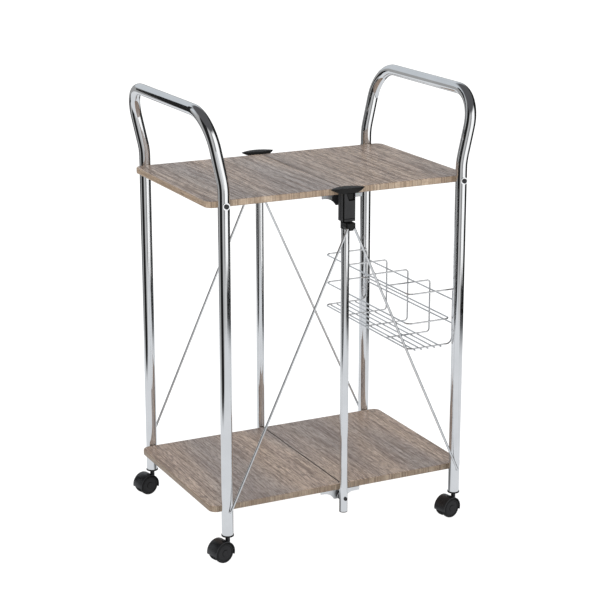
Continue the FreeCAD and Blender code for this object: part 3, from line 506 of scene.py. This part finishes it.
def round_edges(piece, width):
    weld = piece.modifiers.new("Join", "WELD")
    weld.merge_threshold = WELD_DISTANCE
    bevel = piece.modifiers.new("Rounds", "BEVEL")
    bevel.width = width
    bevel.segments = ROUND_SEGMENTS
    bevel.limit_method = "ANGLE"
    bevel.angle_limit = math.radians(SHARP_ANGLE)
    bevel.harden_normals = True


def dress_nodes():
    """Give each node its material, and rounds to the kinds of piece that have them."""
    for row in frame["record"]["subparts"]:
        mesh = nodes[row["node"]].data
        mesh.materials.clear()
        mesh.materials.append(material_of(row["node"], row["material_slot"]))
    for name, piece in nodes.items():
        for ending, width in EDGE_ROUNDS.items():
            if name.endswith(ending):
                round_edges(piece, width)


def new_object(name, data):
    made = bpy.data.objects.new(name, data)
    bpy.context.scene.collection.objects.link(made)
    return made


def new_sheet(name, points, faces, material):
    """An object of the given faces, all in one material."""
    mesh = bpy.data.meshes.new(name)
    mesh.from_pydata(points, [], faces)
    mesh.materials.append(material)
    return new_object(name, mesh)


def make_latch_shade(end_name, end):
    """Thin black skins of painted shade on one latch housing; seen from their own end, left and right are
    the same.
    """
    low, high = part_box(f"{end_name}_latch_housing")
    front = max(abs(low.y), abs(high.y))
    points, faces = [], []

    def skin(outline):
        """A face from (across, out, up) points as seen from the housing's end."""
        faces.append(range(len(points), len(points) + len(outline)))
        points.extend((-end * across, end * out, up) for across, out, up in outline)

    def corner(step):
        turn = math.radians(90.0 * step / LATCH_SHADE_STEPS)
        reach = LATCH_SHADE_CORNER + LATCH_SHADE_LIFT
        return (low.x + LATCH_SHADE_CORNER - reach * math.cos(turn), front - LATCH_SHADE_CORNER + reach * math.sin(turn))

    for step in range(LATCH_SHADE_STEPS):
        near, far = corner(step), corner(step + 1)
        skin([(*near, low.z), (*far, low.z), (*far, high.z), (*near, high.z)])
    left, right = low.x + LATCH_SHADE_CORNER, high.x - LATCH_SHADE_SIDE
    bottom, top = (low.z + rise for rise in LATCH_SHADE_FOOT)
    out = front + LATCH_SHADE_LIFT
    skin([(left, out, bottom), (right, out, bottom), (right, out, top), (left, out, top)])
    floor = front - RECESS_DEPTH + LATCH_SHADE_LIFT
    recess_height = RECESS_OUTLINE[2][1]
    skin([(across, floor, high.z - recess_height + up) for across, up in RECESS_OUTLINE])
    shade_skins = new_sheet(f"{end_name}_latch_painted_shade", points, faces, MATERIALS["shade_skin"])
    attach(shade_skins, "centre_frame")


def floor_corners(middle, half):
    """A rectangle on the floor, seen from above."""
    return [(middle[0] + across * half[0], middle[1] + along * half[1], 0.0)
            for across, along in ((-1, -1), (1, -1), (1, 1), (-1, 1))]


def pale_floor(shader):
    cloud = shader.noise(shader.place(), scale=1.5, detail=3.0)
    return {"Base Color": shader.tones(cloud, *FLOOR_TINTS),
            "Roughness": shader.rescale(cloud, NOISE_SPAN, FLOOR_ROUGHNESS)}


def make_floor():
    material = finish_of("pale_floor", pale_floor, Specular_IOR_Level=0.1,
                         Emission_Color=(1.0, 1.0, 1.0, 1.0), Emission_Strength=FLOOR_GLOW)
    shader = Shader(material.node_tree)
    surface = material.node_tree.nodes["Principled BSDF"].outputs[0]
    clear = shader.add("ShaderNodeBsdfTransparent").outputs[0]
    below = shader.add("ShaderNodeNewGeometry").outputs["Backfacing"]
    shown = shader.add("ShaderNodeMixShader", {0: below, 1: surface, 2: clear}).outputs[0]
    shader.feed(material.node_tree.nodes["Material Output"], "Surface", shown)
    corners = floor_corners((0.0, 0.0), (FLOOR_SIZE / 2, FLOOR_SIZE / 2))
    floor = new_sheet("floor", corners, [range(len(corners))], material)
    floor.visible_glossy = False


def make_card(name, corners, light, cover=None):
    """A lit sheet that only gloss reflects; functions may give its light and where it fades away."""
    material = bpy.data.materials.new(name)
    material.use_nodes = True
    material.node_tree.nodes.clear()
    shader = Shader(material.node_tree)
    colour = light(shader) if callable(light) else (*light, 1.0)
    surface = shader.add("ShaderNodeEmission", {"Color": colour}).outputs[0]
    if cover:
        clear = shader.add("ShaderNodeBsdfTransparent").outputs[0]
        surface = shader.add("ShaderNodeMixShader", {0: cover(shader), 1: clear, 2: surface}).outputs[0]
    shader.add("ShaderNodeOutputMaterial", {"Surface": surface})
    card = new_sheet(name, corners, [range(len(corners))], material)
    for ray in ("camera", "diffuse", "transmission", "volume_scatter", "shadow"):
        setattr(card, f"visible_{ray}", False)


def within(shader, middle, half, fade):
    """1 inside a rectangle on the floor, fading to 0 outside it."""
    parts = []
    for along, centre, reach in zip(shader.split(shader.place()), middle, half):
        away = shader.size(shader.minus(along, centre))
        parts.append(shader.fall(away, (reach, reach + fade), smooth=True))
    return shader.times(*parts)


def floor_card_cover(shader):
    return within(shader, FLOOR_CARD_MIDDLE, FLOOR_CARD_HALF, FLOOR_CARD_FADE)


def floor_card_light(shader):
    shade = within(shader, (0.0, 0.0), FLOOR_SHADE_HALF, FLOOR_SHADE_FADE)
    return shader.mix(shade, FLOOR_CARD_LIGHT, FLOOR_SHADE)


def make_cards():
    reach = [half + FLOOR_CARD_FADE for half in FLOOR_CARD_HALF]
    make_card("floor_card", floor_corners(FLOOR_CARD_MIDDLE, reach), floor_card_light, floor_card_cover)
    make_card("dark_card", [(DARK_CARD_X, *corner) for corner in DARK_CARD_OUTLINE], DARK_CARD_LIGHT)


def turn_of(bearing):
    """A bearing in degrees as a share of the whole turn, with the camera's side at a half."""
    return bearing / 360 + 0.5


def make_studio():
    """Even light all round; what gloss sees is a studio of soft boxes and dark flags."""
    world = bpy.data.worlds.new("studio")
    bpy.context.scene.world = world
    world.use_nodes = True
    studio = Shader(world.node_tree)
    x, y, z = studio.split(studio.add("ShaderNodeTexCoord").outputs["Generated"])
    bearing = studio.math("ARCTAN2", x, studio.times(y, -1.0))
    bearing = studio.minus(bearing, math.radians(STUDIO_FACING))
    turn = studio.math("FRACT", studio.plus(studio.over(bearing, 2 * math.pi), 0.5))
    height = studio.times(studio.math("ARCSINE", z), 180 / math.pi)

    def greys(marks):
        return studio.ramp(turn, [(turn_of(mark), (grey, grey, grey)) for mark, grey in marks])

    def after(marks):
        return studio.rise(turn, [turn_of(mark) for mark in marks])

    def before(marks):
        return studio.fall(turn, [turn_of(mark) for mark in marks])

    low_floor = studio.fall(height, LOW_FLOOR_EDGE, smooth=True)
    low_sight = studio.mix(low_floor, greys(LOW_FLAGS), FLOOR_CARD_LIGHT)
    right = studio.times(after(LOW_FROM), before(LOW_UNTIL))
    low_right = studio.times(right, studio.fall(height, LOW_EDGE, smooth=True))
    sight = studio.mix(low_right, greys(FLAGS), low_sight)
    far = studio.math("MAXIMUM", before(FAR_WALL_UNTIL), after(FAR_WALL_FROM))
    far_wall = studio.times(far, studio.rise(height, FAR_WALL_EDGE, smooth=True))
    sight = studio.mix(far_wall, sight, FAR_WALL_TINT)
    sight = studio.mix(studio.rise(height, CEILING_EDGE, smooth=True), sight, CEILING_TINT)
    even = studio.rescale(height, EVEN_LIGHT_EDGE, (WALL_LIGHT, CEILING_LIGHT), smooth=True)
    glossy = studio.add("ShaderNodeLightPath").outputs["Is Glossy Ray"]
    studio.feed(world.node_tree.nodes["Background"], "Color", studio.mix(glossy, even, sight))


def make_lamp(name, place, size, power):
    lamp = bpy.data.lights.new(name, "AREA")
    lamp.shape = "DISK"
    lamp.size = size
    lamp.energy = power
    holder = new_object(name, lamp)
    holder.location = place
    holder.rotation_euler = (Vector(LAMP_AIM) - Vector(place)).to_track_quat("-Z", "Y").to_euler()
    holder.visible_glossy = False


def make_camera():
    lens = bpy.data.cameras.new("camera")
    lens.sensor_width = CAMERA_SENSOR
    lens.lens = CAMERA_LENS
    camera = new_object("camera", lens)
    camera.location = CAMERA_PLACE
    camera.rotation_euler = [math.radians(angle) for angle in CAMERA_TURN]
    bpy.context.scene.camera = camera


dress_nodes()
make_latch_shade("front", -1)
make_latch_shade("rear", 1)
make_floor()
make_cards()
make_studio()
for lamp_name, (lamp_place, lamp_size, lamp_power) in LAMPS.items():
    make_lamp(lamp_name, lamp_place, lamp_size, lamp_power)
make_camera()
bpy.context.scene.view_settings.view_transform = "Standard"
